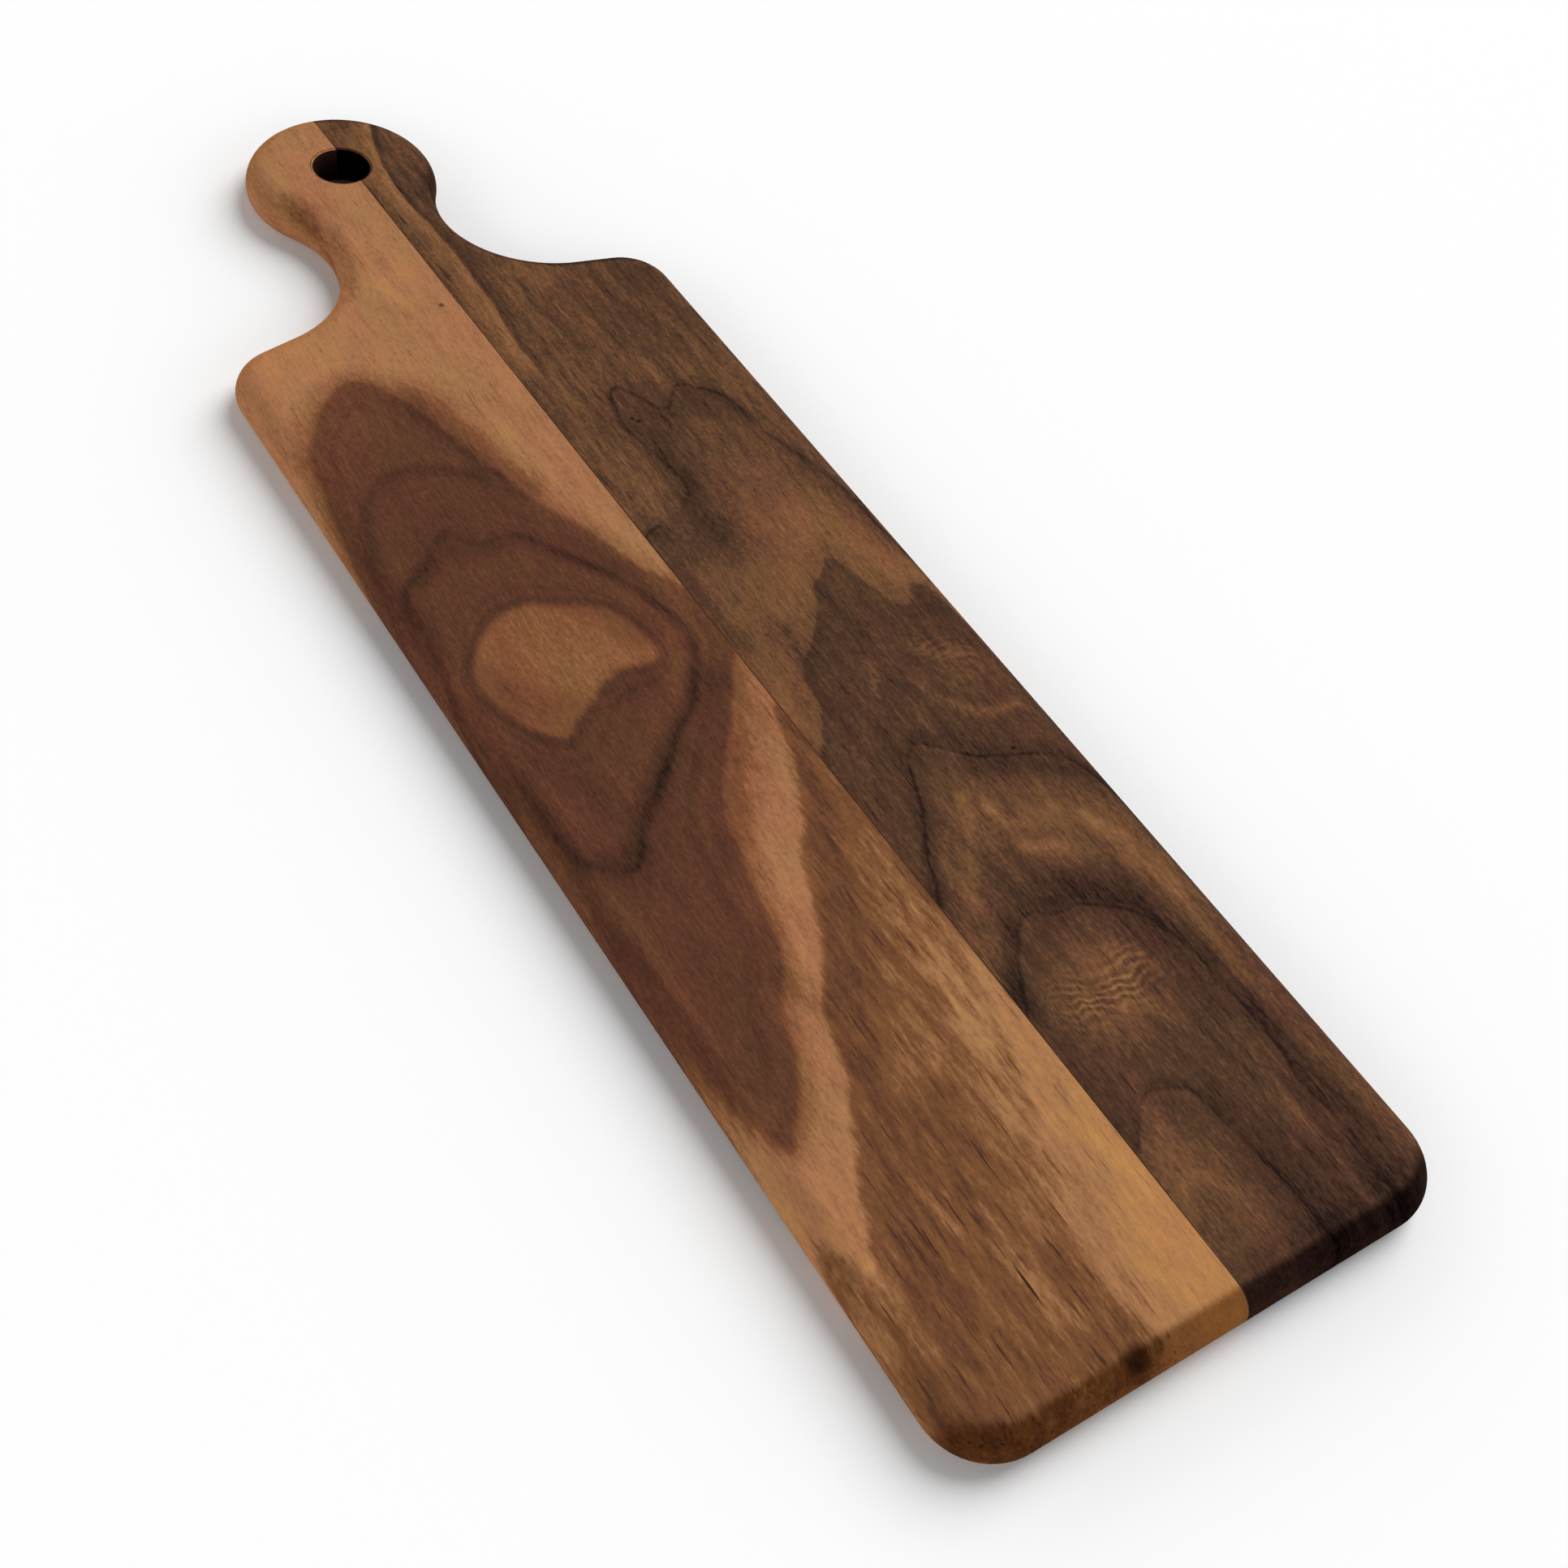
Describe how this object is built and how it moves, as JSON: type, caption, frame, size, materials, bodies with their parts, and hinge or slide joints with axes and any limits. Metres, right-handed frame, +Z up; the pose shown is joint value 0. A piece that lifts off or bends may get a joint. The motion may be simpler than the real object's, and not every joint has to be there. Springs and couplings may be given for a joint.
{
  "type": "bread board",
  "caption": "Walnut paddle bread board: planks glued edge to edge, with rounded edges, sloping shoulders, a narrow neck and a round knob drilled for hanging.",
  "frame": {"origin": "underside of the board, below the middle of its bounding box", "axes": "+Y along the board from the square near end to the knob, +Z up out of the serving face, +X to the right"},
  "size_m": [0.1524, 0.508, 0.0127],
  "materials": {
    "walnut_sap_and_heart": "oiled satin, pale sapwood running into brown heartwood",
    "walnut_dark_heart": "oiled satin, dark brown heartwood with lighter streaks",
    "dried_glue": "thin dried wood glue, dull brown"
  },
  "bodies": {
    "root": {"left_plank": "walnut_sap_and_heart", "right_plank": "walnut_dark_heart", "glue_line_blade": "dried_glue", "glue_line_knob": "dried_glue"}
  },
  "joints": []
}
